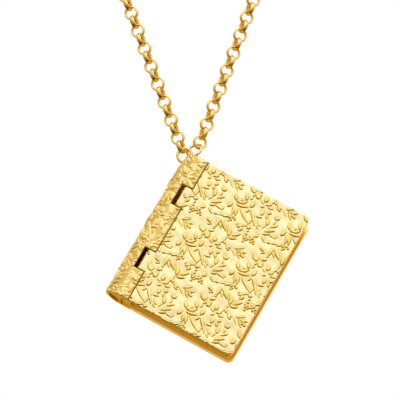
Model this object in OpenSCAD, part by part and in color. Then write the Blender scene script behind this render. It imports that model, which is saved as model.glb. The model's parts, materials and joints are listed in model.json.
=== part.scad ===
/* [Book] */
// Height of the book along its spine
book_h = 30; // [26:0.5:34]
// Width of the book from spine to fore edge
book_w = 26.25; // [24:0.25:30]
// Thickness of the closed book
book_t = 7; // [6.6:0.1:8]
// How far the rounded spine bulges out
spine_bulge = 2.2; // [1.8:0.1:2.6]
// Thickness of the sheet metal of the spine and back
sheet = 0.45; // [0.4:0.05:0.6]
// Thickness of the front cover plate
cover_t = 0.6; // [0.5:0.05:0.8]
// Radius of the outer corners of the covers
corner_r = 1.2; // [0.6:0.1:2]
// Angle at which the book hangs, about the front-to-back axis
tilt = 29.5; // [20:0.5:40]

/* [Hinge] */
// Outer radius of the rolled tabs of the front cover
knuckle_r = 0.8; // [0.7:0.05:0.9]
// Radius of the spine's own knuckles, which are cut flat so that they lie flush with the front
flat_knuckle_r = 1.12; // [1:0.01:1.12]
// Radius of the hollow along the cover's edge that turns round the spine's knuckles
hollow_r = 1.2; // [1.2:0.01:1.22]
// Radius of the hinge pin
pin_r = 0.35; // [0.3:0.05:0.4]
// Distance of the pin from the outside of the spine
pin_u = 3.8; // [3.7:0.05:4]
// Left edge of the front cover
cover_u = 4.73; // [4.73:0.01:4.8]
// Left edge of the slots that the cover's tabs turn in
slot_u = 2.42; // [2.3:0.02:2.5]
// Top of the upper slot, below the top of the book
slot_a = 5.95; // [5:0.05:7]
// Top of the lower slot, below the top of the book
slot_b = 19.65; // [18:0.05:21]
// Height of each slot
slot_h = 4.3; // [3:0.1:5]

/* [Inside] */
// Depth of the outer wall round the back cover
wall_d = 2.5; // [2:0.1:3]
// Thickness of that wall
wall_t = 0.5; // [0.4:0.05:0.6]
// How far the page frame stands in from the edges of the book
frame_inset = 0.75; // [0.7:0.05:1]
// Wall thickness of the page frame
frame_t = 0.6; // [0.5:0.05:0.8]

/* [Relief] */
// Height of the raised leaves
relief_h = 0.18; // [0.1:0.02:0.2]
// Height of the raised leaves on the rounded spine
spine_relief_h = 0.06; // [0.04:0.01:0.1]
// Repeat of the pattern across the book
repeat_u = 11.2; // [10:0.1:12]
// Step across of each next row of the pattern
row_u = 6.58; // [5:0.02:8]
// Step down of each next row of the pattern
row_v = 11.14; // [10:0.02:12]

/* [Chain] */
// Outer diameter of a link
link_od = 2.6; // [2.6:0.02:2.7]
// Radial thickness of a link
link_t = 0.26; // [0.22:0.01:0.26]
// Width of a link along its own axis
link_w = 0.6; // [0.4:0.02:0.6]
// Distance from link to link
pitch = 1.85; // [1.8:0.01:1.85]
// Number of links in the left half
links_left = 119; // [61:2:121]
// Number of links in the right half
links_right = 118; // [60:2:120]
// Angle between each strand and the vertical
strand_angle = 19.77; // [15:0.1:25]
// Turn of every other link away from facing the front
link_turn = 25; // [20:1:30]

/* [Rings and clasp] */
// Radius of the rings' round wire
ring_wire_r = 0.22; // [0.2:0.01:0.23]
// Radius of the left ring, which the book hangs on, to the middle of its wire
ring_left_r = 1.32; // [1.3:0.01:1.34]
// Radius of the right ring to the middle of its wire
ring_right_r = 1.42; // [1.4:0.01:1.44]
// Radius of the clasp ring to the middle of its wire
clasp_r = 2.4; // [2.2:0.05:2.6]
// Radius of the clasp ring's wire
clasp_wire_r = 0.55; // [0.4:0.05:0.6]
// Radius of the eye on the clasp to the middle of its wire
clasp_eye_r = 1.05; // [1:0.05:1.1]
// Radius of the eye's wire
clasp_eye_wire_r = 0.26; // [0.2:0.01:0.27]

/* [Hidden] */
$fn = 48;
gold = [0.93, 0.72, 0.33];
pale_gold = [0.98, 0.86, 0.58];
deep_gold = [0.78, 0.5, 0.16];
eps = 0.01;

// The book's own frame: x runs across from the outside of the spine, z runs up the spine
// from the book's top edge, and y runs back from the middle of its thickness.
front_y = -book_t / 2;
back_y = book_t / 2;
spine_r = (pow(book_t / 2, 2) + pow(spine_bulge, 2)) / (2 * spine_bulge);
slots = [slot_a, slot_b];

// The hinge: room for the pin in the knuckles and in the tabs, and at each end of a tab
pin_y = front_y + knuckle_r;
pin_bore_r = pin_r + 0.02;
tab_bore_r = pin_r + 0.05;
tab_gap = 0.12;
knuckle_spans = [[-1, slot_a], [slot_a + slot_h, slot_b], [slot_b + slot_h, book_h + 1]];

// The plates at the lower end of the spine: where the first ends, the gap, and where the
// second ends in front, before it steps back under the cover
cap_split = 2.85;
cap_gap = 0.35;
block_u = 4.6;
frame_y = front_y + cover_t + 0.1;
frame_left = cover_u + 0.4;

// Where the left ring's wire passes through the wall of the spine
hook_u = 0.35;
hook_y = -0.22;
hook_v = 1.4;
hook_hole_r = 0.46;
hook_lug_r = 0.9;
notch_w = 3;
notch_z = 0.45;

// Distances along the chain from the point where the two strands would meet
left_first = 4.665;
right_first = 5.573;
link_r = (link_od - link_t) / 2;
link_hole_r = link_od / 2 - link_t;
clearance = 0.28;
eye_reach = link_hole_r + clasp_eye_r - clasp_eye_wire_r - clearance;
ring_reach = link_hole_r + clasp_r - clasp_wire_r - clearance;
clasp_span = clasp_r + clasp_eye_r - 0.2;
left_last = left_first + (links_left - 1) * pitch;
right_last = right_first + (links_right - 1) * pitch;
loop_len = left_last + right_last + eye_reach + clasp_span + ring_reach;
loop_r = loop_len / 2 / (1 / tan(strand_angle) + (90 + strand_angle) * PI / 180);
straight = loop_r / tan(strand_angle);
apex_z = -loop_r - loop_r / sin(strand_angle);

// Places of the two rings, from the point where the strands would meet
ring_left_at = [-0.93, 0.02, 2.745];
ring_right_at = [0.85, -0.28, 3.62];

// How each ring is turned from facing the front: about z, then its top leaning back
ring_left_turn = [-3.3, -3.9];
ring_right_turn = [-28.3, 29.2];

// A point on the middle line of the chain, at distance s from the bottom, side 1 or -1
function turned(s) = (s - straight) / loop_r * 180 / PI - strand_angle;
function chain_point(s, side) = s <= straight
    ? [side * s * sin(strand_angle), 0, apex_z + s * cos(strand_angle)]
    : [side * loop_r * cos(turned(s)), 0, -loop_r + loop_r * sin(turned(s))];
function chain_lean(s, side) = s <= straight ? side * strand_angle : -side * turned(s);

// The leaves of one repeat of the floral pattern, charted by hand
// columns: u and v of the stem end, u and v of the tip, width at the middle
leaves = [
    [12.8, 4.2, 13.6, 2.9, 0.42],
    [13.2, 4.0, 14.6, 3.0, 0.42],
    [13.4, 4.6, 15.4, 3.9, 0.42],
    [13.7, 4.9, 16.1, 6.5, 0.45],
    [13.2, 5.0, 13.7, 6.6, 0.60],
    [11.6, 5.6, 12.5, 4.4, 0.45],
    [9.2, 6.1, 10.7, 5.4, 0.42],
    [9.1, 7.0, 10.4, 6.4, 0.42],
    [9.2, 5.0, 10.6, 4.3, 0.42],
    [11.3, 7.3, 12.9, 6.6, 0.42],
    [12.0, 8.2, 11.7, 10.2, 0.45],
    [12.3, 8.3, 13.9, 9.8, 0.55],
    [15.3, 8.0, 16.3, 7.2, 0.42],
    [15.4, 9.8, 16.9, 9.0, 0.45],
    [15.1, 10.6, 16.6, 10.2, 0.45],
    [14.2, 8.8, 14.9, 10.4, 0.50],
    [14.8, 11.0, 14.2, 12.4, 0.45],
    [17.2, 11.8, 18.7, 10.9, 0.40],
    [17.7, 12.1, 19.5, 11.8, 0.42],
    [11.2, 11.1, 12.3, 10.8, 0.42],
    [10.8, 11.4, 10.5, 13.0, 0.50],
    [16.4, 4.1, 17.2, 6.0, 0.50],
    [17.5, 5.1, 18.1, 6.5, 0.45],
    [17.2, 7.4, 18.0, 7.1, 0.50],
    [18.9, 8.2, 19.6, 7.5, 0.42],
    [13.7, 13.2, 15.0, 13.3, 0.40]
];

function leaf_turn(row) = atan2(row[1] - row[3], row[2] - row[0]);
function leaf_len(row) = norm([row[2] - row[0], row[3] - row[1]]);

// A pointed leaf lying along x, with its stem end at the origin
module leaf(len, wide) {
    polygon([[0, 0], [0.28 * len, wide / 2], [0.62 * len, wide / 2.2], [len, 0],
        [0.62 * len, -wide / 2.2], [0.28 * len, -wide / 2]]);
}

// One repeat of the pattern, drawn with v running down
module sprig() {
    for (row = leaves)
        translate([row[0], -row[1]]) rotate(leaf_turn(row)) leaf(leaf_len(row), row[4]);
}

// The pattern over the flat front of the book
module pattern() {
    for (i = [-3:2], j = [-1:2])
        translate([i * repeat_u + j * row_u, -j * row_v]) sprig();
}

// The outline of a cover, with square corners at the spine and round ones at the fore edge
module cover_outline(left, inset) {
    r = corner_r - inset;
    right = book_w - inset;
    high = book_h - 2 * inset;
    translate([left, -book_h + inset]) square([right - left - r, high]);
    translate([left, -book_h + inset + r]) square([right - left, high - 2 * r]);
    for (z = [-inset - r, -book_h + inset + r])
        translate([right - r, z]) circle(r);
}

// A flat plate from an outline drawn in x and z, from y = near to y = far
module plate(near, far) {
    translate([0, far, 0]) rotate([90, 0, 0]) linear_extrude(far - near) children();
}

// The sheet that wraps from the back cover round the spine to the hinge, seen from above
module spine_section() {
    intersection() {
        difference() {
            translate([spine_r, 0]) circle(spine_r, $fn = 96);
            translate([spine_r, 0]) circle(spine_r - sheet, $fn = 96);
        }
        translate([-1, -book_t]) square([spine_bulge + 1, 2 * book_t]);
    }
    translate([spine_bulge - eps, front_y]) square([pin_u - spine_bulge, sheet]);
    intersection() {
        translate([pin_u, pin_y]) circle(flat_knuckle_r);
        translate([pin_u - 2, front_y]) square(4);
    }
    translate([spine_bulge - eps, back_y - sheet]) square([cover_u - spine_bulge, sheet]);
}

// Leaves on the rounded part of the spine, each turned to face outwards
// columns: angle round the spine from straight left towards the front, v, turn, length
spine_leaves = [
    [8, 4.6, 62, 1.9],
    [22, 7.2, 108, 1.7],
    [38, 5.0, 70, 2.0],
    [40, 9.2, 118, 1.8],
    [10, 10.4, 84, 1.9],
    [24, 13.0, 58, 1.8],
    [42, 13.4, 104, 1.9],
    [12, 16.2, 110, 1.8],
    [34, 18.0, 66, 2.0],
    [18, 20.6, 96, 1.8],
    [42, 22.4, 74, 1.8],
    [10, 24.4, 70, 1.9],
    [28, 26.2, 112, 1.9],
    [42, 27.6, 64, 1.7]
];

module spine_relief() {
    for (row = spine_leaves)
        translate([spine_r, 0, -row[1]]) rotate([0, 0, row[0]])
            translate([-spine_r + 0.15, 0, 0]) rotate([0, -90, 0])
                rotate(row[2] - 90) translate([-row[3] / 2, 0])
                    linear_extrude(0.15 + spine_relief_h) leaf(row[3], 0.42);
}

module back_shell() {
    color(gold) difference() {
        union() {
            difference() {
                translate([0, 0, -book_h]) linear_extrude(book_h) spine_section();
                for (v = slots) slot_cut(v);
            }
            plate(back_y - sheet, back_y) cover_outline(cover_u - 1, 0);
            plate(back_y - wall_d, back_y - eps) difference() {
                cover_outline(cover_u + 0.6, 0);
                cover_outline(cover_u - 1, wall_t);
            }
            translate([0, 0, -book_h + 0.3]) linear_extrude(0.5) end_caps();
            spine_relief();
        }
        translate([pin_u, pin_y, -book_h - 1]) cylinder(h = book_h + 2, r = pin_bore_r);
        translate([hook_u, hook_y, -hook_v]) rotate([0, -tilt, 0]) hook_cut();
    }
}

// The level hole that the ring passes through, and the notch that rounds the wall above it
module hook_cut() {
    rotate([0, 90, 0]) cylinder(h = 2.4, r = hook_hole_r, center = true);
    difference() {
        translate([-1, -notch_w / 2, notch_z]) cube([2.2, notch_w, 2]);
        rotate([0, 90, 0]) cylinder(h = 3, r = hook_lug_r, center = true);
    }
}

// The plates that close the lower end of the hollow spine, with a gap between them
module end_caps() {
    intersection() {
        translate([spine_r, 0]) circle(spine_r - sheet / 2, $fn = 96);
        translate([0, front_y + sheet - eps]) square([cap_split, book_t - 2 * sheet + 2 * eps]);
    }
    translate([cap_split + cap_gap, front_y + sheet - eps])
        square([block_u - cap_split - cap_gap, book_t - 2 * sheet + 2 * eps]);
    translate([block_u - eps, frame_y])
        square([frame_left - 0.1 - block_u, back_y - sheet + eps - frame_y]);
}

// The room that a tab of the front cover turns in
module slot_cut(v) {
    translate([slot_u, front_y - 1, -v - slot_h])
        cube([pin_u + knuckle_r + 0.5 - slot_u, 2 + knuckle_r + flat_knuckle_r, slot_h]);
}

module page_frame() {
    color(deep_gold) plate(frame_y, back_y - sheet - 0.02) difference() {
        frame_outline(0);
        frame_outline(frame_t);
    }
}

// The rectangle of the page frame, taken in by a distance
module frame_outline(inset) {
    left = frame_left + inset;
    translate([left, -book_h + frame_inset + inset])
        square([book_w - frame_inset - inset - left, book_h - 2 * frame_inset - 2 * inset]);
}

module hinge_pin() {
    color(gold) translate([pin_u, pin_y, -book_h + 0.2]) cylinder(h = book_h - 0.4, r = pin_r);
}

module front_cover() {
    color(pale_gold) difference() {
        union() {
            difference() {
                plate(front_y, front_y + cover_t) cover_outline(cover_u, 0.05);
                for (span = knuckle_spans) translate([pin_u, pin_y, -span[1] - tab_gap])
                    cylinder(h = span[1] - span[0] + 2 * tab_gap, r = hollow_r);
            }
            for (v = slots) cover_tab(v + tab_gap, slot_h - 2 * tab_gap);
            plate(front_y - relief_h, front_y + 0.1) intersection() {
                pattern();
                cover_outline(cover_u + 0.1, 0.15);
            }
        }
        translate([pin_u, pin_y, -book_h - 1]) cylinder(h = book_h + 2, r = tab_bore_r);
    }
}

// A tab of the cover, rolled round the hinge pin
module cover_tab(top, high) {
    translate([pin_u, front_y, -top - high]) cube([cover_u - pin_u + 0.2, sheet, high]);
    translate([pin_u, pin_y, -top - high]) cylinder(h = high, r = knuckle_r);
}

// The lowest point of a ring's middle line
function ring_bottom(at, turn, r) = [at[0], at[1] - r * sin(turn[1]), apex_z + at[2] - r * cos(turn[1])];

// Moves the book from its own frame to where it hangs on the left ring
module hung() {
    translate(ring_bottom(ring_left_at, ring_left_turn, ring_left_r)) rotate([0, tilt, 0])
        translate([-hook_u, -hook_y, hook_v]) children();
}

module wire_ring(r, wire_r) {
    rotate_extrude() translate([r, 0]) circle(wire_r, $fn = 24);
}

// Puts a ring at its place above the book, turned as it hangs
module turned_ring(at, turn) {
    translate([0, 0, apex_z] + at) rotate([90 - turn[1], 0, turn[0]]) children();
}

module jump_ring_left() {
    color(gold) turned_ring(ring_left_at, ring_left_turn) wire_ring(ring_left_r, ring_wire_r);
}

module jump_ring_right() {
    color(gold) turned_ring(ring_right_at, ring_right_turn) wire_ring(ring_right_r, ring_wire_r);
}

// One link: a short band, flat inside and at its sides, with its outer edges cut away
module link() {
    inner = link_r - link_t / 2;
    outer = link_r + link_t / 2;
    flat_w = 0.2 * link_w;
    rotate_extrude() polygon([[inner, -link_w / 2], [link_r, -link_w / 2], [outer, -flat_w],
        [outer, flat_w], [link_r, link_w / 2], [inner, link_w / 2]]);
}

// Half of the chain, whose links face the front and the side in turn
module strand(first, count, side, faces_side) {
    for (i = [0:count - 1]) {
        s = first + i * pitch;
        to_side = (i + faces_side) % 2 == 1;
        translate(chain_point(s, side)) rotate([0, chain_lean(s, side), 0])
            rotate([0, 0, side * (to_side ? link_turn - 90 : link_turn)]) rotate([90, 0, 0]) link();
    }
}

module chain_left() {
    color(gold) strand(left_first, links_left, -1, 1);
}

module chain_right() {
    color(gold) strand(right_first, links_right, 1, 0);
}

// A plain ring clasp with an eye, closed, where the loop hangs
module clasp() {
    color(gold) {
        translate(chain_point(left_last + eye_reach, -1)) rotate([90, 0, 0])
            wire_ring(clasp_eye_r, clasp_eye_wire_r);
        translate(chain_point(left_last + eye_reach + clasp_span, -1)) rotate([90, 0, 0])
            wire_ring(clasp_r, clasp_wire_r);
    }
}

hung() back_shell();
hung() page_frame();
hung() hinge_pin();
hung() front_cover();
jump_ring_left();
jump_ring_right();
chain_left();
chain_right();
clasp();
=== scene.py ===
import json
import math

import bpy
import numpy as np
from mathutils import Matrix, Vector


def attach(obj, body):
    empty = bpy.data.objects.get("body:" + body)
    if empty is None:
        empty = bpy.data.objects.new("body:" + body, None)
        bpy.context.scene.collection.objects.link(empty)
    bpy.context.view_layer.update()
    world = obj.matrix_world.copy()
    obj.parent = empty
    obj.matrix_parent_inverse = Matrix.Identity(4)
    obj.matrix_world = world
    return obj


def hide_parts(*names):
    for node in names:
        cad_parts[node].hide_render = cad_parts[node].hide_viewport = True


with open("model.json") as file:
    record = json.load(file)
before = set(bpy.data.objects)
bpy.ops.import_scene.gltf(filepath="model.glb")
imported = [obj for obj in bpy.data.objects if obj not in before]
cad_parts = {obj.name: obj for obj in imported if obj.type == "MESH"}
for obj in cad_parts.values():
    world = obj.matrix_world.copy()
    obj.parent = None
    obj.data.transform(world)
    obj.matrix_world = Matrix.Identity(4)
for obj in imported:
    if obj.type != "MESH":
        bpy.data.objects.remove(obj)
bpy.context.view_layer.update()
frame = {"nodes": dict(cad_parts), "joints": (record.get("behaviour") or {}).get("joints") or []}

MM = 0.001

# The book's own frame, in millimetres: u runs across from the outside of the spine, v down from the
# top edge, and y back from the middle of the book's thickness. The hinge pin gives its place and tilt.
HINGE = next(j for j in frame["joints"] if j["name"] == "cover_hinge")
SWING = next(j for j in frame["joints"] if j["name"] == "locket_swing")
PIN_U, PIN_Y, PIN_V = 3.8, -2.7, 15.0
DOWN = Vector(HINGE["axis"]).normalized()
ACROSS = Vector((-DOWN.z, 0, DOWN.x))
BOOK_H = 30.0
FRONT_Y = -3.5

# The spine: its bulge and round outside, the slots that show the tabs, and the seam beside the cover
SPINE_BULGE = 2.2
SPINE_R = (FRONT_Y ** 2 + SPINE_BULGE ** 2) / (2 * SPINE_BULGE)
SLOTS = ((5.95, 10.25), (19.65, 23.95))
SLOT_U = 2.42
SEAM_U = 4.62
STRIP_U = 2.4  # where the strip that the cover's edge swings over begins

# The hook hole at the top of the spine: its middle, the round lug beside it and the notch above it
HOOK_Y, HOOK_V, HOOK_U = -0.22, 1.4, 0.35
HOOK_LUG_R = 0.9
NOTCH_W, NOTCH_Z = 3.0, 0.45
HOOK_REACH_U = 1.3

# The front cover, and its tabs rolled round the pin
COVER_U, COVER_RIGHT = 4.73, 26.2
COVER_MARGIN = 0.05
# The cover's rim has painted light and shade: near the fore edge the bright edge gold, elsewhere the spine's
# darker gold as painted shade
FORE_W = 0.3  # how near the fore edge its rim is bright
LEFT_FADE = 0.03  # how far past the left edge the relief would fade out
COVER_T, COVER_LIP = 0.6, 0.06
CORNER_R = 1.15
TAB_GAP = 0.12
TAB_T = 0.36
KNUCKLE_R = 0.8
HOLLOW_R, HOLLOW_Y = 1.2, 0.2  # the hollow of the cover's left edge, and its back's distance from the pin
EDGE_ARC = 1.19  # how far from the pin the cover's back left edge swings

# The worked skins: how far they lie outside the solids, how wide their faded rim is and how low it dips
SKIN = 0.08
FADE = 0.12
DIP = 0.07
SKIN_MARGIN = 0.02  # how far the spine's and the back's skins stay inside the top and bottom edges
SPINE_RELIEF = 0.9  # the spine's relief is this share of the cover's
LEAF_LEAST = 0.02  # what rises more than this is part of a leaf
FAR = 9.0  # a distance that limits nothing

# The tabs: how far the strip reaches in under the cover's face and lies below it, where its roll ends in
# degrees, and where along the strip the relief fades out and over what distance
TAB_UNDER_U, TAB_UNDER = 0.06, 0.02
TAB_TURN = 100
TAB_FADE_U, TAB_FADE = 0.8, 0.6

# The spine's skin: how deep its inner side and its sunk edges lie in the metal, over what distance it sinks
# at the hook hole and at the back edge, and the height and shift of the pattern's second layer
SPINE_DEEP, SPINE_SUNK = 0.04, 0.03
SINK_HOOK, SINK_BACK = 0.18, 0.3
SPINE_GROUND = 0.02
SECOND_SHARE, SECOND_SHIFT = 0.65, 5.6

# How high the spine's skin may stand beside the seam: this far under the arc of the cover's edge, and no
# higher than a limit that starts low and grows across the strip
ARC_CLEAR = 0.04
ROOM_LEAST, ROOM_SLOPE, ROOM_U = 0.15, 0.22, 3.0

# The back's skin: its left edge, how far it reaches past the fore edge and lies in the metal, and how low
# its rim dips
BACK_U = 2.3
BACK_PAST, BACK_DEEP = 0.02, 0.02
BACK_DIP = 0.06


def places(u, y, v):
    """Points of the book's own frame, in millimetres, as places in the scene, one row each."""
    from_pin = ((u - PIN_U)[:, None] * np.array(ACROSS) + (y - PIN_Y)[:, None] * np.array((0, 1, 0))
                + (v - PIN_V)[:, None] * np.array(DOWN))
    return np.array(HINGE["pos_m"]) + MM * from_pin


# Camera: the photograph looks up at the locket from a little below, from far away
PHOTO_PIXELS, PIXEL_MM = 400, 0.185
ELEVATION = math.radians(-15)
LENS, SENSOR = 300.0, 36.0
TARGET = Vector((SWING["pos_m"][0] + 0.00283, 0, SWING["pos_m"][2] - 0.00726))


def add_camera():
    width = PHOTO_PIXELS * PIXEL_MM * MM
    distance = width * LENS / SENSOR
    cam = bpy.data.objects.new("camera", bpy.data.cameras.new("camera"))
    bpy.context.scene.collection.objects.link(cam)
    cam.data.lens = LENS
    cam.data.sensor_width = SENSOR
    cam.data.clip_start = 0.01
    cam.data.clip_end = 20
    look = Vector((0, math.cos(ELEVATION), -math.sin(ELEVATION)))
    cam.location = TARGET - look * distance
    cam.rotation_euler = look.to_track_quat("-Z", "Y").to_euler()
    bpy.context.scene.camera = cam


add_camera()


# Materials: how fine the gold's drift in colour and its polishing marks are, how deep the marks are in
# metres, and the least and most that they multiply its roughness by
DRIFT_SCALE, MARKS_SCALE, MARKS_DEEP = 350.0, 4000.0, 0.00002
ROUGH_LEAST, ROUGH_MOST = 0.8, 1.25

# The painted shade on the inside of the hollow spine, a dark brown that stands in for the shade there: its
# colour, its metallic look, and how far its bounds lie inside the round wall and the front, past the seam and
# above the lower end
INSIDE_SHADE, INSIDE_SHADE_METALLIC = (0.62, 0.32, 0.045, 1), 0.2
INSIDE_SHADE_WALL, INSIDE_SHADE_FRONT, INSIDE_SHADE_SEAM, INSIDE_SHADE_END = 0.2, 0.25, 0.1, 0.35

# The caps at the spine's lower end get painted light, a brighter gold for the light they catch: its colour,
# how far up it begins and how far past the seam it ends
CAP_LIGHT_COLOR = (1.0, 0.76, 0.22, 1)
CAP_LIGHT_UP, CAP_LIGHT_PAST = 0.4, 0.5


def new_material(name):
    mat = bpy.data.materials.new(name)
    mat.use_nodes = True
    return mat, mat.node_tree.nodes, mat.node_tree.links


def math_node(nodes, links, kind, *values):
    """A math node's output, from numbers and other nodes' outputs."""
    node = nodes.new("ShaderNodeMath")
    node.operation = kind
    for socket, value in zip(node.inputs, values):
        if isinstance(value, float):
            socket.default_value = value
        else:
            links.new(value, socket)
    return node.outputs["Value"]


def gold(name, color, shade, roughness, bump=0.0, metallic=1.0):
    """Polished gold plate: its colour drifts a little, and its polish has fine marks."""
    mat, nodes, links = new_material(name)
    shader = nodes["Principled BSDF"]
    shader.inputs["Metallic"].default_value = metallic
    shader.inputs["Specular Tint"].default_value = (*color, 1)
    coord = nodes.new("ShaderNodeTexCoord")
    drift = nodes.new("ShaderNodeTexNoise")
    drift.inputs["Scale"].default_value = DRIFT_SCALE
    drift.inputs["Detail"].default_value = 3.0
    links.new(coord.outputs["Object"], drift.inputs["Vector"])
    mix = nodes.new("ShaderNodeMix")
    mix.data_type = "RGBA"
    mix.inputs["A"].default_value = (*color, 1)
    mix.inputs["B"].default_value = (*shade, 1)
    links.new(drift.outputs["Fac"], mix.inputs["Factor"])
    links.new(mix.outputs["Result"], shader.inputs["Base Color"])
    marks = nodes.new("ShaderNodeTexNoise")
    marks.inputs["Scale"].default_value = MARKS_SCALE
    marks.inputs["Detail"].default_value = 4.0
    links.new(coord.outputs["Object"], marks.inputs["Vector"])
    rough = nodes.new("ShaderNodeMapRange")
    rough.inputs["To Min"].default_value = roughness * ROUGH_LEAST
    rough.inputs["To Max"].default_value = roughness * ROUGH_MOST
    links.new(marks.outputs["Fac"], rough.inputs["Value"])
    links.new(rough.outputs["Result"], shader.inputs["Roughness"])
    if bump:
        bumps = nodes.new("ShaderNodeBump")
        bumps.inputs["Strength"].default_value = bump
        bumps.inputs["Distance"].default_value = MARKS_DEEP
        links.new(marks.outputs["Fac"], bumps.inputs["Height"])
        links.new(bumps.outputs["Normal"], shader.inputs["Normal"])
    return mat


COVER_GOLD = gold("cover_gold", (1.0, 0.87, 0.51), (1.0, 0.82, 0.40), 0.12, bump=0.1)
# Painted reflection: the raised leaves are a deeper gold than the ground, for the golden sides that their
# sloped flanks reflect
LEAF_REFLECTION_GOLD = gold("leaf_reflection_gold", (1.0, 0.81, 0.32), (0.96, 0.73, 0.23), 0.12, bump=0.2)
SPINE_GOLD = gold("spine_gold", (0.82, 0.59, 0.20), (0.76, 0.52, 0.15), 0.26, bump=0.3)
# Painted highlight: the spine's raised leaves are a brighter gold than its ground, for the light on their
# ridges
SPINE_LEAF_HIGHLIGHT = gold("spine_leaf_highlight_gold", (1.0, 0.80, 0.36), (0.96, 0.72, 0.26), 0.16, bump=0.3)
# Painted shade: a deep orange, partly diffuse gold that stands in for the shade and the warm light bounced
# between gold walls in the recess round the pages
RECESS_SHADE_GOLD = gold("deep_gold", (0.82, 0.50, 0.06), (0.70, 0.39, 0.035), 0.3, metallic=0.6)
EDGE_GOLD = gold("edge_gold", (1.0, 0.87, 0.46), (1.0, 0.82, 0.37), 0.1)
CHAIN_GOLD = gold("chain_gold", (1.0, 0.78, 0.36), (0.96, 0.70, 0.26), 0.16)
# Painted shade: a dark, hardly metallic brown for the shade in the seam, the slots, the grooves and round the
# tabs
PAINTED_SHADE_GOLD = gold("painted_shade_gold", (0.36, 0.20, 0.03), (0.28, 0.15, 0.02), 0.6, metallic=0.1)


def shell_gold():
    """The shell's gold plate, with painted shade on the inside of the hollow spine and painted light on the
    caps at its lower end.
    """
    mat = SPINE_GOLD.copy()
    mat.name = "shell_gold"
    nodes, links = mat.node_tree.nodes, mat.node_tree.links
    shader = nodes["Principled BSDF"]
    coord = nodes.new("ShaderNodeTexCoord")
    split = nodes.new("ShaderNodeSeparateXYZ")
    links.new(coord.outputs["Object"], split.inputs["Vector"])

    def calc(kind, *values):
        return math_node(nodes, links, kind, *values)

    def along(direction, zero):
        """The distance along a direction, in millimetres, from the book's own zero."""
        dot = nodes.new("ShaderNodeVectorMath")
        dot.operation = "DOT_PRODUCT"
        dot.inputs[1].default_value = direction / MM
        links.new(coord.outputs["Object"], dot.inputs[0])
        start = Vector(HINGE["pos_m"]).dot(direction) / MM
        return calc("SUBTRACT", dot.outputs["Value"], start - zero)

    u = along(ACROSS, PIN_U)
    v = along(DOWN, PIN_V)
    y = calc("ABSOLUTE", calc("MULTIPLY", split.outputs["Y"], 1 / MM))
    from_middle = calc("SUBTRACT", u, SPINE_R)
    radius = calc("SQRT", calc("ADD", calc("MULTIPLY", from_middle, from_middle), calc("MULTIPLY", y, y)))
    # The inside of the hollow spine lies within its round wall, behind its front, left of the seam
    # and above the caps at its lower end
    in_wall = calc("LESS_THAN", radius, SPINE_R - INSIDE_SHADE_WALL)
    inside = calc("MULTIPLY", in_wall, calc("LESS_THAN", y, -FRONT_Y - INSIDE_SHADE_FRONT))
    inside = calc("MULTIPLY", inside, calc("LESS_THAN", u, SEAM_U + INSIDE_SHADE_SEAM))
    inside = calc("MULTIPLY", inside, calc("LESS_THAN", v, BOOK_H - INSIDE_SHADE_END))
    # Painted light: the caps at the spine's lower end get a brighter gold
    low = calc("GREATER_THAN", v, BOOK_H - CAP_LIGHT_UP)
    lit_cap = calc("MULTIPLY", low, calc("LESS_THAN", u, SEAM_U + CAP_LIGHT_PAST))
    # Painted shade on the inside of the hollow spine, which is also made less metallic, and painted light on
    # the caps
    for mask, color in ((inside, INSIDE_SHADE), (lit_cap, CAP_LIGHT_COLOR)):
        mix = nodes.new("ShaderNodeMix")
        mix.data_type = "RGBA"
        links.new(shader.inputs["Base Color"].links[0].from_socket, mix.inputs["A"])
        mix.inputs["B"].default_value = color
        links.new(mask, mix.inputs["Factor"])
        links.new(mix.outputs["Result"], shader.inputs["Base Color"])
    links.new(calc("MULTIPLY_ADD", inside, INSIDE_SHADE_METALLIC - 1.0, 1.0), shader.inputs["Metallic"])
    return mat


# The materials of the solids that the scene's pieces don't cover or replace
NODE_GOLD = {
    "back_shell": shell_gold(),
    # The tray's frame in the recess gets the recess gold's painted shade
    "page_frame": RECESS_SHADE_GOLD,
    "hinge_pin": SPINE_GOLD,
    "jump_ring_left": CHAIN_GOLD,
    "jump_ring_right": CHAIN_GOLD,
    "chain_left": CHAIN_GOLD,
    "chain_right": CHAIN_GOLD,
    "clasp": CHAIN_GOLD,
}


def dress_nodes():
    for node, mat in NODE_GOLD.items():
        mesh = frame["nodes"][node].data
        mesh.materials.clear()
        mesh.materials.append(mat)


dress_nodes()


# The floral pattern, charted over one repeat, with the two steps from each repeat to the next
REPEAT = np.array([[11.2, 0.06], [6.58, 11.14]])
CHART_U = 0.2

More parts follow.
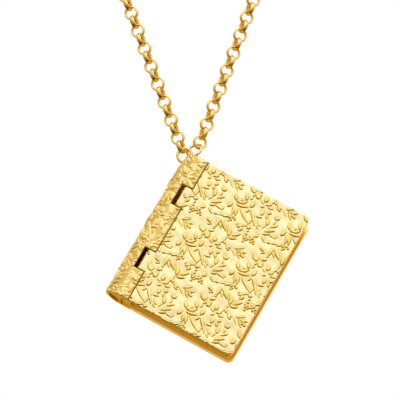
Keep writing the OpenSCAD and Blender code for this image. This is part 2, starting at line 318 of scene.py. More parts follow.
# Leaves and petals: u and v of the stem end, u and v of the tip, bend to one side, width, height
LEAVES = (
    (13.05, 4.05, 14.05, 3.05, 0.05, 0.42, 0.19),
    (13.15, 4.00, 14.95, 2.85, -0.25, 0.50, 0.19),
    (13.10, 4.45, 15.65, 3.85, -0.12, 0.46, 0.17),
    (13.00, 3.95, 12.25, 2.45, 0.10, 0.62, 0.15),
    (12.00, 5.65, 12.60, 4.40, 0.00, 0.62, 0.19),
    (13.00, 4.75, 13.50, 6.75, 0.05, 0.50, 0.15),
    (13.45, 4.75, 14.15, 6.65, 0.08, 0.60, 0.15),
    (14.10, 4.75, 16.95, 6.75, 0.00, 0.50, 0.12),
    (17.15, 5.55, 16.85, 6.95, 0.05, 0.30, 0.12),
    (13.35, 7.55, 13.15, 6.75, 0.00, 0.34, 0.13),
    (12.10, 7.75, 13.55, 6.65, -0.05, 0.40, 0.17),
    (11.25, 7.85, 12.40, 7.30, 0.05, 0.30, 0.10),
    (10.35, 7.95, 11.20, 7.85, 0.05, 0.46, 0.18),
    (12.00, 8.30, 11.85, 10.55, 0.00, 0.52, 0.16),
    (12.15, 8.20, 14.15, 10.00, 0.12, 0.80, 0.15),
    (12.30, 9.00, 13.10, 10.05, 0.00, 0.36, 0.11),
    (9.00, 6.50, 10.85, 5.45, 0.14, 0.48, 0.20),
    (8.95, 7.05, 10.30, 6.45, 0.10, 0.46, 0.20),
    (10.10, 6.55, 11.30, 6.75, 0.12, 0.40, 0.12),
    (9.55, 5.25, 10.85, 4.35, 0.08, 0.42, 0.19),
    (9.60, 5.00, 10.00, 3.45, -0.08, 0.24, 0.12),
    (9.90, 3.50, 9.40, 2.70, 0.00, 0.50, 0.15),
    (9.95, 3.50, 10.35, 2.65, 0.00, 0.50, 0.15),
    (9.05, 7.45, 10.25, 8.40, 0.12, 0.50, 0.13),
    (11.55, 5.95, 11.30, 6.90, 0.00, 0.30, 0.12),
    (15.45, 4.95, 15.95, 4.15, 0.00, 0.36, 0.18),
    (15.75, 3.80, 16.15, 2.35, 0.00, 0.62, 0.14),
    (16.05, 4.05, 17.65, 6.05, 0.18, 0.62, 0.14),
    (17.25, 5.00, 18.15, 6.65, 0.00, 0.44, 0.13),
    (18.10, 4.95, 19.25, 6.10, -0.22, 0.36, 0.12),
    (18.40, 5.90, 19.10, 6.80, -0.10, 0.36, 0.11),
    (17.45, 4.70, 18.75, 4.45, 0.05, 0.44, 0.17),
    (18.25, 4.15, 18.20, 2.85, 0.00, 0.60, 0.13),
    (19.35, 4.30, 18.95, 2.90, 0.00, 0.50, 0.12),
    (20.10, 5.35, 19.75, 3.75, 0.00, 0.62, 0.15),
    (19.45, 6.25, 20.05, 5.20, 0.00, 0.26, 0.11),
    (17.00, 7.45, 17.85, 7.05, 0.00, 0.50, 0.19),
    (17.40, 8.00, 17.80, 7.75, 0.00, 0.30, 0.13),
    (15.30, 8.20, 16.50, 7.30, 0.00, 0.40, 0.19),
    (16.30, 7.45, 17.05, 7.00, 0.00, 0.26, 0.11),
    (16.35, 7.75, 15.95, 8.85, 0.00, 0.66, 0.16),
    (15.10, 7.95, 15.30, 7.35, 0.00, 0.26, 0.10),
    (19.00, 8.25, 19.80, 7.70, 0.00, 0.44, 0.19),
    (19.10, 7.85, 19.55, 7.35, 0.00, 0.40, 0.13),
    (14.85, 10.65, 13.90, 8.60, -0.28, 0.72, 0.15),
    (14.80, 10.50, 14.20, 12.55, 0.05, 0.30, 0.14),
    (13.40, 13.05, 14.50, 12.45, 0.00, 0.42, 0.18),
    (15.35, 10.10, 16.85, 9.00, 0.00, 0.50, 0.21),
    (15.00, 10.75, 16.60, 10.20, 0.00, 0.50, 0.21),
    (17.00, 12.05, 18.75, 10.95, 0.00, 0.28, 0.16),
    (11.15, 11.30, 12.25, 10.85, 0.00, 0.46, 0.20),
    (10.55, 12.10, 9.25, 10.65, 0.12, 0.74, 0.12),
    (10.75, 11.05, 10.40, 12.15, 0.00, 0.26, 0.11),
    (10.55, 12.80, 10.80, 11.95, 0.00, 0.34, 0.17),
    (11.35, 12.90, 11.15, 11.45, 0.00, 0.50, 0.13),
    (11.65, 12.85, 11.75, 11.35, 0.00, 0.50, 0.13),
    (10.35, 13.60, 10.80, 12.90, 0.00, 0.34, 0.14),
    (9.95, 14.10, 9.35, 12.55, 0.00, 0.60, 0.15),
    (12.95, 12.75, 13.10, 11.40, -0.05, 0.74, 0.14),
    (12.05, 12.60, 13.15, 13.10, 0.00, 0.36, 0.10),
    (12.75, 13.85, 13.40, 13.40, 0.00, 0.40, 0.18),
    (13.95, 13.30, 15.10, 13.15, 0.00, 0.38, 0.18),
    (14.35, 14.30, 15.20, 13.90, 0.00, 0.46, 0.19),
    (14.45, 12.05, 14.75, 11.25, 0.00, 0.36, 0.13),
    (14.80, 12.10, 15.05, 11.50, 0.00, 0.32, 0.14),
    (15.15, 12.05, 16.55, 12.30, -0.06, 0.36, 0.14),
    (15.55, 12.35, 16.30, 12.95, 0.00, 0.40, 0.15),
    (17.50, 12.15, 19.50, 11.75, 0.05, 0.46, 0.18),
    (17.70, 12.20, 18.60, 12.75, 0.00, 0.40, 0.13),
    (18.40, 12.05, 19.30, 12.85, 0.00, 0.50, 0.15),
    (17.85, 12.35, 18.95, 13.30, -0.08, 0.34, 0.10),
    (16.45, 12.15, 18.05, 13.35, 0.00, 0.22, 0.08),
)

# Buds and berries: u, v, radius, height
BUDS = (
    (14.00, 6.90, 0.28, 0.15), (14.40, 7.15, 0.24, 0.18), (13.80, 7.55, 0.24, 0.17),
    (13.45, 7.15, 0.24, 0.13), (13.50, 7.90, 0.20, 0.12), (17.60, 9.40, 0.26, 0.18),
    (18.00, 9.60, 0.22, 0.18), (17.70, 10.05, 0.22, 0.18), (17.35, 9.05, 0.24, 0.13),
    (17.90, 9.05, 0.24, 0.13), (18.30, 9.25, 0.24, 0.16), (18.70, 9.05, 0.24, 0.14),
    (19.05, 9.50, 0.22, 0.19), (19.65, 9.55, 0.20, 0.18), (19.40, 9.10, 0.26, 0.15),
    (19.00, 8.70, 0.26, 0.13), (18.50, 8.65, 0.22, 0.11), (17.60, 8.50, 0.24, 0.11),
    (10.20, 9.55, 0.30, 0.14), (10.60, 9.70, 0.26, 0.15), (10.95, 10.00, 0.22, 0.17),
    (10.60, 10.25, 0.20, 0.12), (9.95, 9.50, 0.20, 0.11), (11.75, 11.95, 0.20, 0.17),
    (11.40, 12.55, 0.22, 0.17), (11.10, 12.25, 0.20, 0.15), (14.95, 12.00, 0.20, 0.17),
    (16.15, 12.75, 0.22, 0.18), (19.20, 12.60, 0.20, 0.17), (18.50, 12.20, 0.20, 0.19),
    (10.00, 3.10, 0.28, 0.16), (9.60, 2.90, 0.24, 0.15), (11.90, 10.35, 0.20, 0.18),
)
GROOVE_W, GROOVE_DEEP = 0.12, 0.07
RELIEF_GAIN = 1.5
LEAF_FULL = 1.25  # how much fuller a leaf is than its charted width
LEAF_CROWN, BUD_CROWN = 2.3, 2.0
LEAF_WIDEST = 0.8  # below 1, a leaf is widest nearer its stem
# How fast a leaf rises from its stem end and falls to its tip, and the share of its height at those ends
RISE, FALL = 4, 5
ROOT_HIGH, TIP_HIGH = 0.35, 0.25
VEIN_W, VEIN_DEEP, VEIN_LEAST = 0.07, 0.3, 0.16


def crowned(t, half, high, power):
    """The height across a leaf or bud, t from its middle line to its edge, with a groove round it."""
    outside = np.clip((t - 1) * half / GROOVE_W, 0, 1)
    return np.where(t < 1, high * np.clip(1 - t ** power, 0, 1), -GROOVE_DEEP * np.sin(np.pi * outside))


def leaf_heights(du, dv, row):
    """The height of one leaf at points of the pattern: a bent blade with a sharp middle rib."""
    u0, v0, u1, v1, bend, wide, high = row
    along = np.array((u1 - u0, v1 - v0))
    length = np.hypot(*along)
    along = along / length
    s = ((du - u0) * along[0] + (dv - v0) * along[1]) / length
    across = -(du - u0) * along[1] + (dv - v0) * along[0]
    inside = (s > 0.01) & (s < 0.99)
    s = np.clip(s, 0, 1)
    middle = -4 * bend * s * (1 - s)
    half = wide / 2 * LEAF_FULL * np.sin(np.pi * s ** LEAF_WIDEST) + 1e-6
    t = np.abs(across - middle) / half
    swell = np.minimum(1, RISE * s + ROOT_HIGH) * np.minimum(1, FALL * (1 - s) + TIP_HIGH)
    vein = 1 - VEIN_DEEP * np.exp(-(t * half / VEIN_W) ** 2) * (half > VEIN_LEAST)
    return np.where(inside, crowned(t, half, high * swell * vein, LEAF_CROWN), 0)


def bud_heights(du, dv, row):
    """The height of one round bud at points of the pattern."""
    u0, v0, radius, high = row
    return crowned(np.hypot(du - u0, dv - v0) / radius, radius, high, BUD_CROWN)


def relief(u, v):
    """The height of the pattern at arrays of places on the book: raised leaves and the grooves round them."""
    raised = np.zeros_like(u)
    groove = np.zeros_like(u)
    inverse = np.linalg.inv(REPEAT)
    for rows, heights in ((LEAVES, leaf_heights), (BUDS, bud_heights)):
        for row in rows:
            row_u = (row[0] + row[2]) / 2 if rows is LEAVES else row[0]
            row_v = (row[1] + row[3]) / 2 if rows is LEAVES else row[1]
            cell = np.round(np.stack((u + CHART_U - row_u, v - row_v), axis=-1) @ inverse) @ REPEAT
            h = heights(u + CHART_U - cell[..., 0], v - cell[..., 1], row)
            raised = np.maximum(raised, h)
            groove = np.minimum(groove, h)
    return np.where(raised > 0, RELIEF_GAIN * raised, groove)


def ground(u, v):
    """Faint hand-worked waves of the ground between the leaves."""
    broad = 0.05 * np.sin(0.9 * u + 0.5 * v + 0.7) * np.sin(0.8 * v - 0.5 * u)
    return broad + 0.02 * np.sin(2.1 * u - 1.4 * v) * np.sin(1.2 * u + 2.0 * v + 1.0)


def mesh_piece(name, points, faces, mats, body, kinds=None, flat=None):
    """A piece from points and faces; kinds gives each face's material, and flat faces have sharp edges."""
    mesh = bpy.data.meshes.new(name)
    mesh.from_pydata([tuple(p) for p in points], [], faces)
    for mat in mats:
        mesh.materials.append(mat)
    smooth = np.ones(len(faces), bool) if flat is None else ~np.asarray(flat)
    mesh.polygons.foreach_set("use_smooth", smooth)
    if kinds is not None:
        mesh.polygons.foreach_set("material_index", np.asarray(kinds, dtype=np.int32))
    piece = bpy.data.objects.new(name, mesh)
    bpy.context.scene.collection.objects.link(piece)
    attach(piece, body)
    return piece


def grid_faces(rows, cols, start=0, flip=False):
    """The quads of a grid of points."""
    i = np.arange(rows - 1)[:, None] * cols + np.arange(cols - 1)[None, :] + start
    quads = np.stack((i, i + 1, i + cols + 1, i + cols), axis=-1).reshape(-1, 4)
    return (quads[:, ::-1] if flip else quads).tolist()


def cover_right(v):
    """Where the cover's fore edge lies at each height, with its rounded corners."""
    drop = np.clip(CORNER_R - np.minimum(v - COVER_MARGIN, BOOK_H - COVER_MARGIN - v), 0, CORNER_R)
    return COVER_RIGHT - CORNER_R + np.sqrt(CORNER_R ** 2 - drop ** 2)


def side_walls(faces, inner_of):
    """Faces that join the outer points to the inner ones along every free edge of the outer faces."""
    edges = {(a, b): True for face in faces for a, b in zip(face, face[1:] + face[:1])}
    return [[b, a, inner_of[a], inner_of[b]] for a, b in edges if (b, a) not in edges]


def walled_sheet(outer, inner, faces):
    """The points and faces of a worked sheet with walls along its free edges, and how many walls it has."""
    count = len(outer)
    walls = side_walls(faces, {k: count + k for k in range(count)})
    both = np.array(faces + walls)
    used = np.zeros(2 * count, bool)
    used[np.unique(both)] = True
    renumber = np.cumsum(used) - 1
    return np.vstack((outer, inner))[used], renumber[both].tolist(), len(walls)


# The places of a worked piece's materials: ground, raised leaves, rim, inner edges in painted shade and fore
# edge
GROUND, LEAF, RIM, IN_SHADE, FORE_RIM = 0, 1, 2, 3, 4


def face_kinds(height):
    """Ground or leaf for each face of a worked grid."""
    raised = height > LEAF_LEAST
    at_leaf = raised[:-1, :-1] | raised[1:, :-1] | raised[:-1, 1:] | raised[1:, 1:]
    return np.where(at_leaf, LEAF, GROUND).ravel().tolist()


def tab_rows(v):
    """True where a height belongs to one of the cover's two tabs."""
    inside = np.zeros(len(v), bool)
    for top, bottom in SLOTS:
        inside |= (v > top + TAB_GAP) & (v < bottom - TAB_GAP)
    return inside


def add_cover():
    """The front cover: its worked face, its plain back and its two rolled tabs, in one mesh."""
    rows, cols = 340, 250
    top, bottom = COVER_MARGIN, BOOK_H - COVER_MARGIN
    v = np.linspace(top, bottom, rows)
    share = np.linspace(0, 1, cols)
    right = cover_right(v)
    u = COVER_U + share[None, :] * (right - COVER_U)[:, None]
    vv = np.repeat(v[:, None], cols, axis=1)
    # The relief fades out at the edges, but not where it runs on over a tab
    left = np.where(tab_rows(v)[:, None], 1.0, u - COVER_U + LEFT_FADE)
    fade = np.clip(np.minimum.reduce([vv - top, bottom - vv, right[:, None] - u, left]) / FADE, 0, 1)
    worked = relief(u, vv)
    height = (worked + ground(u, vv)) * fade - DIP * (1 - fade) ** 2
    front = places(u.ravel(), (FRONT_Y - SKIN - height).ravel(), vv.ravel())
    faces = grid_faces(rows, cols, flip=True)
    kinds = face_kinds(worked)
    flat = [False] * len(faces)

    # The edge walls and the back go round the outline of the worked face
    last_row = (rows - 1) * cols
    ring = (list(range(cols)) + [i * cols + cols - 1 for i in range(1, rows)]
            + [last_row + j for j in range(cols - 2, -1, -1)] + [i * cols for i in range(rows - 2, 0, -1)])
    ring_u, ring_v = u.ravel()[ring], vv.ravel()[ring]
    hollow_u = np.sqrt(HOLLOW_R ** 2 - HOLLOW_Y ** 2) + PIN_U
    back_y = np.full(len(ring), FRONT_Y + COVER_T + COVER_LIP)
    back = places(np.maximum(ring_u, hollow_u), back_y, ring_v)
    first, count = rows * cols, len(ring)
    at_left = ring_u < COVER_U + 0.001
    at_fore = ring_u > COVER_RIGHT - FORE_W
    for k in range(count):
        after = (k + 1) % count
        faces.append([ring[k], ring[after], first + after, first + k])
        # Painted shade and light on the cover's rim: the wall at the seam gets the dark painted shade, the
        # rim near the fore edge the bright edge gold, and the rest the spine's darker gold as painted shade
        kinds.append(IN_SHADE if at_left[k] and at_left[after] else FORE_RIM if at_fore[k] else RIM)
        flat.append(True)
    faces.append([first + k for k in range(count)][::-1])
    kinds.append(GROUND)
    flat.append(True)

    points = [front, back]
    total = first + count
    for slot in SLOTS:
        tab_points, tab_faces, tab_kinds, tab_flat = tab_mesh(slot[0] + TAB_GAP, slot[1] - TAB_GAP, total)
        points.append(tab_points)
        faces += tab_faces
        kinds += tab_kinds
        flat += tab_flat
        total += len(tab_points)
    mats = (COVER_GOLD, LEAF_REFLECTION_GOLD, SPINE_GOLD, PAINTED_SHADE_GOLD, EDGE_GOLD)
    piece = mesh_piece("front_cover_relief", np.vstack(points), faces, mats,
                       "cover", kinds, flat)
    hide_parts("front_cover")


def tab_mesh(top, bottom, first):
    """One tab: a strip that runs on from the cover and rolls round the pin, with its two end faces."""
    r = KNUCKLE_R
    strip = np.linspace(COVER_U + TAB_UNDER_U, PIN_U, 12)
    turn = np.radians(np.linspace(-90, TAB_TURN, 40))[1:]
    prof_u = np.concatenate((strip, PIN_U - r * np.cos(turn)))
    prof_y = np.concatenate((np.full(len(strip), PIN_Y - r), PIN_Y + r * np.sin(turn)))
    normal_u = np.concatenate((np.zeros(len(strip)), -np.cos(turn)))
    normal_y = np.concatenate((np.full(len(strip), -1.0), np.sin(turn)))
    chart_u = np.concatenate((strip, PIN_U - r * (turn + math.pi / 2)))
    v = np.linspace(top, bottom, 50)
    uu, vv = np.meshgrid(chart_u, v)
    fade = np.clip(np.minimum(vv - top, bottom - vv) / FADE, 0, 1)
    under = np.where(uu > COVER_U, TAB_UNDER, 0)
    # The relief fades out before the roll, which turns inside the slot
    wrap = np.clip((uu - PIN_U + TAB_FADE_U) / TAB_FADE, 0, 1)
    worked = relief(uu, vv)
    height = SKIN + worked * fade * wrap - DIP * (1 - fade) ** 2 - under
    outer = places((prof_u + height * normal_u).ravel(), (prof_y + height * normal_y).ravel(), vv.ravel())
    inner = places(np.tile(prof_u - TAB_T * normal_u, len(v)), np.tile(prof_y - TAB_T * normal_y, len(v)),
                   vv.ravel())
    count = len(outer)
    faces = grid_faces(len(v), len(chart_u), first)
    walls = side_walls(faces, {first + k: first + count + k for k in range(count)})
    inside = grid_faces(len(v), len(chart_u), first + count, flip=True)
    # The tab's end walls and its inside get the dark painted shade
    kinds = face_kinds(worked) + [IN_SHADE] * (len(walls) + len(inside))
    flat = [False] * len(faces) + [True] * len(walls) + [False] * len(inside)
    return np.vstack((outer, inner)), faces + walls + inside, kinds, flat


def spine_profile():
    """The spine's outside from its back edge round to the seam: u, y, outward direction and chart u."""
    half = math.asin(-FRONT_Y / SPINE_R)
    phi = np.linspace(half, -half, 98)
    beside_slot, beyond = np.linspace(SPINE_BULGE, SLOT_U, 4), np.linspace(SLOT_U, SEAM_U, 25)
    strip = np.unique(np.concatenate((beside_slot, beyond)))[1:]
    u = np.concatenate((SPINE_R - SPINE_R * np.cos(phi), strip))
    y = np.concatenate((SPINE_R * np.sin(phi), np.full(len(strip), FRONT_Y)))
    out_u = np.concatenate((-np.cos(phi), np.zeros(len(strip))))
    out_y = np.concatenate((np.sin(phi), np.full(len(strip), -1.0)))
    chart = np.concatenate((SPINE_BULGE - SPINE_R * (phi + half), strip))
    return u, y, out_u, out_y, chart


def add_spine():
    """The worked skin of the spine and of its knuckles, cut out at the slots and round the hook hole."""
    u, y, out_u, out_y, chart = spine_profile()
    marks = [SKIN_MARGIN, *(edge for slot in SLOTS for edge in slot), BOOK_H - SKIN_MARGIN]
    v = np.unique(np.concatenate([np.linspace(a, b, max(2, int((b - a) / 0.09)))
                                  for a, b in zip(marks[:-1], marks[1:])]))
    chart_uu, vv = np.meshgrid(chart, v)
    uu, yy = np.tile(u, (len(v), 1)), np.tile(y, (len(v), 1))

    # How far each point is from the hook hole, whose notch stands upright in the leaning book
    tilt = math.asin(-DOWN.x)
    z = -(uu - HOOK_U) * math.sin(tilt) - (vv - HOOK_V) * math.cos(tilt)
    lug = np.hypot(yy - HOOK_Y, z) - HOOK_LUG_R
    notch = np.maximum(np.abs(yy - HOOK_Y) - NOTCH_W / 2, NOTCH_Z - z)
    away = np.where(uu < HOOK_REACH_U, np.minimum(lug, notch), FAR)

    # The skin dips at its edges and sinks into the metal at the hook hole and at its back edge
    slot_edge = np.full_like(vv, FAR)
    for top, bottom in SLOTS:
        slot_edge = np.minimum(slot_edge, np.maximum.reduce([top - vv, vv - bottom, SLOT_U - uu]))
    seam_edge = np.where(uu > SPINE_BULGE, SEAM_U - uu, FAR)
    fade = np.clip(np.minimum.reduce([vv, BOOK_H - vv, seam_edge, slot_edge]) / FADE, 0, 1)
    sink = np.clip(away / SINK_HOOK, 0, 1) * np.clip((chart_uu - chart[0]) / SINK_BACK, 0, 1)
    # A second layer of the pattern, lower and moved along, fills the spine as densely as in the photo
    second = SECOND_SHARE * relief(chart_uu + SECOND_SHIFT, vv + SECOND_SHIFT)
    worked = np.maximum(relief(chart_uu, vv), second)
    height = (worked + SPINE_GROUND) * fade - DIP * (1 - fade) ** 2
    lift = -SPINE_SUNK + (SKIN + SPINE_SUNK + SPINE_RELIEF * height) * sink
    # The cover's edge swings over the strip beside the seam and ends above it, so the relief there is lower
    arc = np.sqrt(EDGE_ARC ** 2 - np.clip(uu - PIN_U, 0, EDGE_ARC) ** 2) + FRONT_Y - PIN_Y - ARC_CLEAR
    room = np.minimum(arc, ROOM_LEAST + ROOM_SLOPE * np.clip(uu - ROOM_U, 0, None))
    lift = np.where(uu > STRIP_U, np.minimum(lift, room), lift)
    outer = places((uu + lift * out_u).ravel(), (yy + lift * out_y).ravel(), vv.ravel())
    inner = places((uu - SPINE_DEEP * out_u).ravel(), (yy - SPINE_DEEP * out_y).ravel(), vv.ravel())

    cols = len(chart)
    leafy = np.array(face_kinds(worked)).reshape(len(v) - 1, cols - 1)
    keep, kinds = [], []
    for i in range(len(v) - 1):
        slotted = any(top < (v[i] + v[i + 1]) / 2 < bottom for top, bottom in SLOTS)
        for j in range(cols - 1):
            in_slot = slotted and (u[j] + u[j + 1]) / 2 > SLOT_U
            if in_slot or away[i:i + 2, j:j + 2].max() < -0.1:
                continue
            a = i * cols + j
            keep.append([a, a + 1, a + cols + 1, a + cols])
            kinds.append(leafy[i, j])
    points, faces, walls = walled_sheet(outer, inner, keep)
    # The skin's walls at its edges, slots and hook hole get the dark painted shade
    mats = (SPINE_GOLD, SPINE_LEAF_HIGHLIGHT, EDGE_GOLD, PAINTED_SHADE_GOLD)
    mesh_piece("spine_relief", points, faces, mats, "book", kinds + [IN_SHADE] * walls,
               [False] * len(keep) + [True] * walls)


def add_back():
    """The worked skin of the back cover, with the front's pattern. The photo doesn't show the back."""
    rows, cols = 320, 260
    top, bottom = SKIN_MARGIN, BOOK_H - SKIN_MARGIN
    v = np.linspace(top, bottom, rows)
    share = np.linspace(0, 1, cols)
    right = cover_right(v) + BACK_PAST
    u = BACK_U + share[None, :] * (right - BACK_U)[:, None]
    vv = np.repeat(v[:, None], cols, axis=1)
    fade = np.clip(np.minimum.reduce([vv - top, bottom - vv, right[:, None] - u, u - BACK_U]) / FADE, 0, 1)
    worked = relief(-u, vv)
    height = (worked + ground(u, vv)) * fade - BACK_DIP * (1 - fade) ** 2
    outer = places(u.ravel(), (-FRONT_Y + SKIN + height).ravel(), vv.ravel())
    inner = places(u.ravel(), np.full(u.size, -FRONT_Y - BACK_DEEP), vv.ravel())
    sheet = grid_faces(rows, cols)
    points, faces, walls = walled_sheet(outer, inner, sheet)
    mesh_piece("back_relief", points, faces, (COVER_GOLD, LEAF_REFLECTION_GOLD, EDGE_GOLD), "book",
               face_kinds(worked) + [RIM] * walls, [False] * len(sheet) + [True] * walls)


# The outside of the tray's wall: where the band starts, its fore edge and the radius of its corners
WALL_LEFT, WALL_RIGHT, WALL_CORNER_R = 5.0, 26.25, 1.2


def wall_path():
    """The outline of the tray's wall from the front: top, fore and bottom edge, with outward directions."""
    r = WALL_CORNER_R
    turn = [math.radians(-90 + 90 * k / 20) for k in range(21)]
    upper = [(WALL_RIGHT - r + r * math.cos(t), r + r * math.sin(t), math.cos(t), math.sin(t)) for t in turn]
    lower = [(a, BOOK_H - b, c, -d) for a, b, c, d in upper[::-1]]
    return [(WALL_LEFT, 0.0, 0.0, -1.0)] + upper + lower + [(WALL_LEFT, BOOK_H, 0.0, 1.0)]


# The section of the band round the wall: y, how far it stands out, and the material of the next strip.
# The first strip is the tray's front lip, mostly in the recess gold's painted shade, and the groove strips
# are dark lines of painted shade between the three beads.
BEAD, LIP, GROOVE = 0, 1, 2
WALL_BEADS = (
    (0.96, -0.72, LIP), (0.96, 0.05, BEAD),
    (0.98, 0.13, BEAD), (1.62, 0.01, BEAD), (1.66, 0.01, GROOVE), (1.86, 0.01, BEAD),
    (1.88, 0.12, BEAD), (2.52, 0.01, BEAD), (2.56, 0.01, GROOVE), (2.76, 0.01, BEAD),
    (2.78, 0.14, BEAD), (3.50, 0.01, BEAD), (3.56, -0.04, BEAD),
)


def add_wall_band():
    """The band round the tray's wall, with three beads. Its lip has the recess gold's painted shade, except
    along the fore edge, where it has the beads' gold.
    """
    path = wall_path()
    points = np.array([(u + lift * out_u, y, v + lift * out_v)
                       for u, v, out_u, out_v in path for y, lift, _ in WALL_BEADS])
    faces = grid_faces(len(path), len(WALL_BEADS))
    kinds = [BEAD if kind == LIP and out_u > 0.5 else kind
             for _, _, out_u, _ in path[:-1] for _, _, kind in WALL_BEADS[:-1]]
    mesh_piece("wall_band", places(points[:, 0], points[:, 1], points[:, 2]), faces,
               (EDGE_GOLD, RECESS_SHADE_GOLD, PAINTED_SHADE_GOLD), "book", kinds, [True] * len(faces))


# The chain: the same links at the same places as the solids, with rounded sections. A strand's row gives
# its node, how far its first link is from the strands' meeting point, how many links it has, its side,
# and 1 if its first link is turned crosswise.
LINK_OD, LINK_T, LINK_W = 2.6, 0.26, 0.6
LINK_GROW, LINK_WIDEN = 0.06, 0.15
LINK_SQUARE, LINK_SQUARE_W = 0.7, 0.8  # how square the section is through its thickness and its width
LINK_AROUND, LINK_SECTION = 28, 10
PITCH = 1.85
LINK_TURN = 25.0
LOOP_LEN = 452.398  # the whole loop along its middle line, from the strands' meeting point back to it
STRAND_ANGLE = 19.77
STRAND_LEAN = math.radians(STRAND_ANGLE)
LOOP_R = LOOP_LEN / 2 / (1 / math.tan(STRAND_LEAN) + math.pi / 2 + STRAND_LEAN)
APEX_Z = -LOOP_R - LOOP_R / math.sin(STRAND_LEAN)
STRANDS = (("chain_left", 4.665, 119, -1, 1), ("chain_right", 5.573, 118, 1, 0))


def tube_faces(around, section):
    """The quads of a closed tube: sections one after another round a ring."""
    i, k = np.divmod(np.arange(around * section), section)
    here, ahead = i * section, (i + 1) % around * section
    return np.stack((here + k, here + (k + 1) % section, ahead + (k + 1) % section, ahead + k), axis=-1)


def chain_place(s, side):
    """The middle of a link, in millimetres, and how far the chain leans there, in degrees."""
    straight = LOOP_R / math.tan(STRAND_LEAN)
    if s <= straight:
        place = Vector((side * s * math.sin(STRAND_LEAN), 0, APEX_Z + s * math.cos(STRAND_LEAN)))
        return place, side * STRAND_ANGLE
    turned = (s - straight) / LOOP_R - STRAND_LEAN
    place = Vector((side * LOOP_R * math.cos(turned), 0, -LOOP_R + LOOP_R * math.sin(turned)))
    return place, -side * math.degrees(turned)


def link_mesh():
    """The points and faces of one link round the y axis: a rounded band."""
    middle, section = (LINK_OD - LINK_T) / 2, []
    for k in range(LINK_SECTION):
        t = 2 * math.pi * k / LINK_SECTION
        c, d = math.cos(t), math.sin(t)
        section.append((middle + (LINK_T / 2 + LINK_GROW) * math.copysign(abs(c) ** LINK_SQUARE, c),
                        (LINK_W / 2 + LINK_WIDEN) * math.copysign(abs(d) ** LINK_SQUARE_W, d)))
    points = []
    for i in range(LINK_AROUND):
        t = 2 * math.pi * i / LINK_AROUND
        points += [(r * math.cos(t), w, r * math.sin(t)) for r, w in section]
    return np.array(points), tube_faces(LINK_AROUND, LINK_SECTION)


def add_chains():
    """Both strands' links, each strand one piece that replaces its solids."""
    points, faces = link_mesh()
    for node, first, count, side, crosswise in STRANDS:
        all_points, all_faces = [], []
        for i in range(count):
            place, lean = chain_place(first + i * PITCH, side)
            turned = LINK_TURN - 90 if (i + crosswise) % 2 == 1 else LINK_TURN
            lean_matrix = Matrix.Rotation(math.radians(lean), 3, "Y")
            matrix = lean_matrix @ Matrix.Rotation(math.radians(side * turned), 3, "Z")
            all_points.append((points @ np.array(matrix).T + np.array(place)) * MM)
            all_faces += (faces + i * len(points)).tolist()
        piece = mesh_piece(node + "_links", np.vstack(all_points), all_faces, [CHAIN_GOLD],
                           "necklace")
        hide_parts(node)


# The jump rings: place from the strands' meeting point, turn and lean in degrees, radius and wire's radius
RINGS = (
    ("jump_ring_left", (-0.93, 0.02, 2.745), -3.3, -3.9, 1.32, 0.29),
    ("jump_ring_right", (0.85, -0.28, 3.62), -28.3, 29.2, 1.42, 0.27),
)
RING_AROUND, RING_SECTION, RING_CUT = 96, 20, 0.05


def add_rings():
    """The jump rings of round wire, a little fuller than the solids, each with the cut where it closes."""
    for node, place, turn, lean, radius, wire in RINGS:
        points = []
        for i in range(RING_AROUND):
            t = 2 * math.pi * (i + 0.5) / RING_AROUND
            r = wire - (RING_CUT if i == 0 else 0.0)
            for k in range(RING_SECTION):
                w = 2 * math.pi * k / RING_SECTION
                out = radius + r * math.cos(w)
                points.append((out * math.cos(t), out * math.sin(t), r * math.sin(w)))
        lean_matrix = Matrix.Rotation(math.radians(90 - lean), 3, "X")
        matrix = Matrix.Rotation(math.radians(turn), 3, "Z") @ lean_matrix
        middle = np.array((place[0], place[1], APEX_Z + place[2]))
        points = (np.array(points) @ np.array(matrix).T + middle) * MM
        faces = tube_faces(RING_AROUND, RING_SECTION)[:, [0, 3, 2, 1]].tolist()
        piece = mesh_piece(node + "_wire", points, faces, [CHAIN_GOLD], "necklace")
        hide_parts(node)


add_cover()
add_spine()
add_back()
add_wall_band()
add_chains()
add_rings()


# How much a direction's front or back, its height and its right side add to its level in the studio, and the
# level at the middle
LEVEL_FRONT, LEVEL_UP, LEVEL_RIGHT, LEVEL_MIDDLE = 0.333, 0.5, 0.08, 0.5

# The studio's colour by level, from the dim floor to the bright top and front
# columns: level, red, green, blue
STUDIO = (
    (0.00, 0.11, 0.06, 0.008),
    (0.167, 0.13, 0.075, 0.012),
    (0.333, 0.33, 0.24, 0.08),
    (0.433, 0.39, 0.29, 0.11),
    (0.567, 0.48, 0.38, 0.19),
    (0.667, 0.61, 0.52, 0.32),
    (0.767, 0.76, 0.69, 0.52),
    (0.867, 0.88, 0.85, 0.78),
    (0.94, 1.00, 1.00, 0.98),
    (1.00, 1.22, 1.22, 1.22),
)


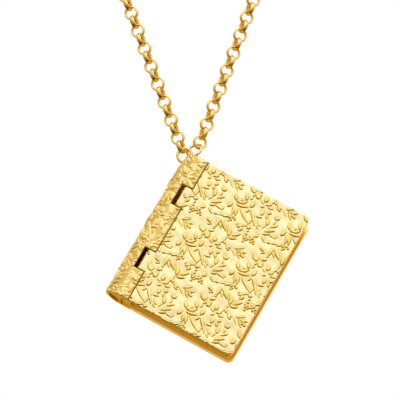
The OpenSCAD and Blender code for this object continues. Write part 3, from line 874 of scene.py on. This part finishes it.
def add_lights():
    """A soft studio, bright in front, behind and above, warm and dim at the sides and below.

    The camera itself sees plain white.
    """
    world = bpy.data.worlds.new("studio")
    bpy.context.scene.world = world
    world.use_nodes = True
    nodes, links = world.node_tree.nodes, world.node_tree.links
    nodes.clear()
    out = nodes.new("ShaderNodeOutputWorld")
    coord = nodes.new("ShaderNodeTexCoord")
    split = nodes.new("ShaderNodeSeparateXYZ")
    links.new(coord.outputs["Generated"], split.inputs["Vector"])

    def calc(kind, *values):
        return math_node(nodes, links, kind, *values)

    front = calc("MULTIPLY", calc("ABSOLUTE", split.outputs["Y"], 0.0), LEVEL_FRONT)
    above = calc("MULTIPLY", split.outputs["Z"], LEVEL_UP)
    right = calc("MULTIPLY", split.outputs["X"], LEVEL_RIGHT)
    level = calc("ADD", calc("ADD", front, above), calc("ADD", right, LEVEL_MIDDLE))
    ramp = nodes.new("ShaderNodeValToRGB")
    stops = ramp.color_ramp.elements
    for row, stop in zip((STUDIO[0], STUDIO[-1]), (stops[0], stops[1])):
        stop.position = row[0]
        stop.color = (*row[1:], 1)
    for row in STUDIO[1:-1]:
        stops.new(row[0]).color = (*row[1:], 1)
    links.new(level, ramp.inputs["Fac"])
    studio = nodes.new("ShaderNodeBackground")
    links.new(ramp.outputs["Color"], studio.inputs["Color"])
    white = nodes.new("ShaderNodeBackground")
    white.inputs["Color"].default_value = (1, 1, 1, 1)
    ray = nodes.new("ShaderNodeLightPath")
    mix = nodes.new("ShaderNodeMixShader")
    links.new(ray.outputs["Is Camera Ray"], mix.inputs["Fac"])
    links.new(studio.outputs["Background"], mix.inputs[1])
    links.new(white.outputs["Background"], mix.inputs[2])
    links.new(mix.outputs["Shader"], out.inputs["Surface"])
    bpy.context.scene.view_settings.view_transform = "Standard"


add_lights()


def add_lamp():
    """A soft lamp below the book, which fills its recesses and leaves no spot on the polish."""
    lamp = bpy.data.lights.new("lamp_below", "AREA")
    lamp.shape = "SQUARE"
    lamp.size = 0.4
    lamp.energy = 0.5
    holder = bpy.data.objects.new("lamp_below", lamp)
    bpy.context.scene.collection.objects.link(holder)
    holder.location = (-0.05, -0.05, -0.40)
    holder.rotation_euler = (math.pi, 0, 0)
    holder.visible_glossy = False
    holder.visible_camera = False


add_lamp()


def add_floor():
    """A plain pale floor, well below the book."""
    mat, nodes, _ = new_material("studio_floor")
    nodes["Principled BSDF"].inputs["Base Color"].default_value = (0.92, 0.92, 0.92, 1)
    nodes["Principled BSDF"].inputs["Roughness"].default_value = 0.9
    mesh = bpy.data.meshes.new("floor")
    size, level = 4.0, -0.45
    corners = [(-size, -size, level), (size, -size, level), (size, size, level), (-size, size, level)]
    mesh.from_pydata(corners, [], [(0, 1, 2, 3)])
    mesh.materials.append(mat)
    floor = bpy.data.objects.new("floor", mesh)
    bpy.context.scene.collection.objects.link(floor)
    floor.visible_glossy = False


add_floor()
